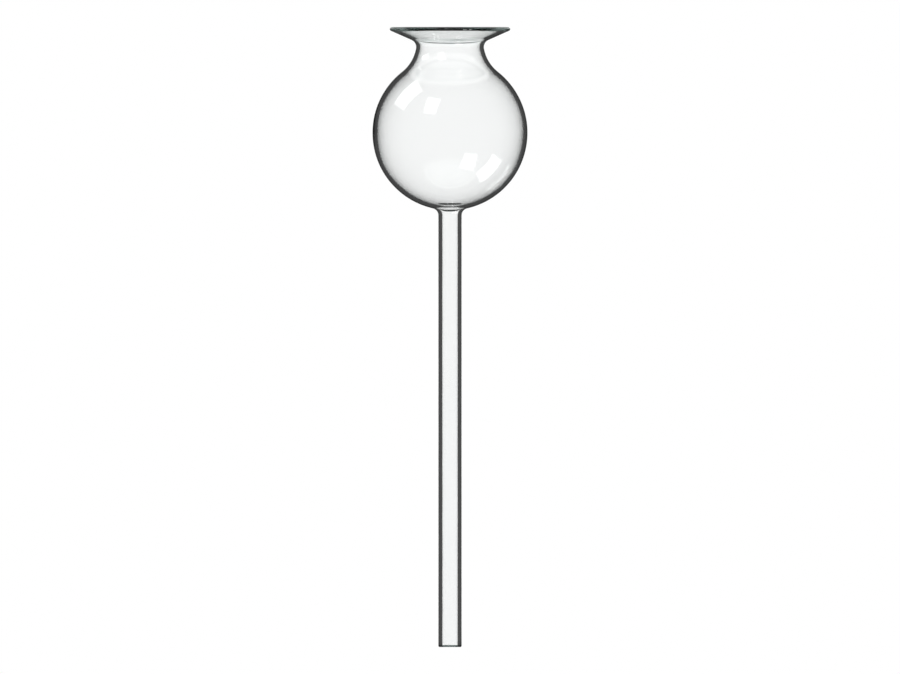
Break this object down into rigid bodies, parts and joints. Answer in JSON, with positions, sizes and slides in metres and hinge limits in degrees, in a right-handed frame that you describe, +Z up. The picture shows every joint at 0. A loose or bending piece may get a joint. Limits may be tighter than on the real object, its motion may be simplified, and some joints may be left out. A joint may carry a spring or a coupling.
{
  "type": "thistle funnel",
  "caption": "Thistle funnel in clear glass: a round blown bulb with a turned-out lip on a long straight stem.",
  "frame": {"origin": "centre of the mouth, on the bench that the funnel stands on", "axes": "+Z up, from the mouth along the funnel's own axis to the tip of the stem. The funnel stands on its mouth, so in use it is turned over: mouth up, stem down"},
  "size_m": [0.05, 0.05, 0.2],
  "materials": {
    "clear_glass": "clear, flame-polished"
  },
  "bodies": {
    "root": {"funnel": "clear_glass"}
  },
  "joints": []
}
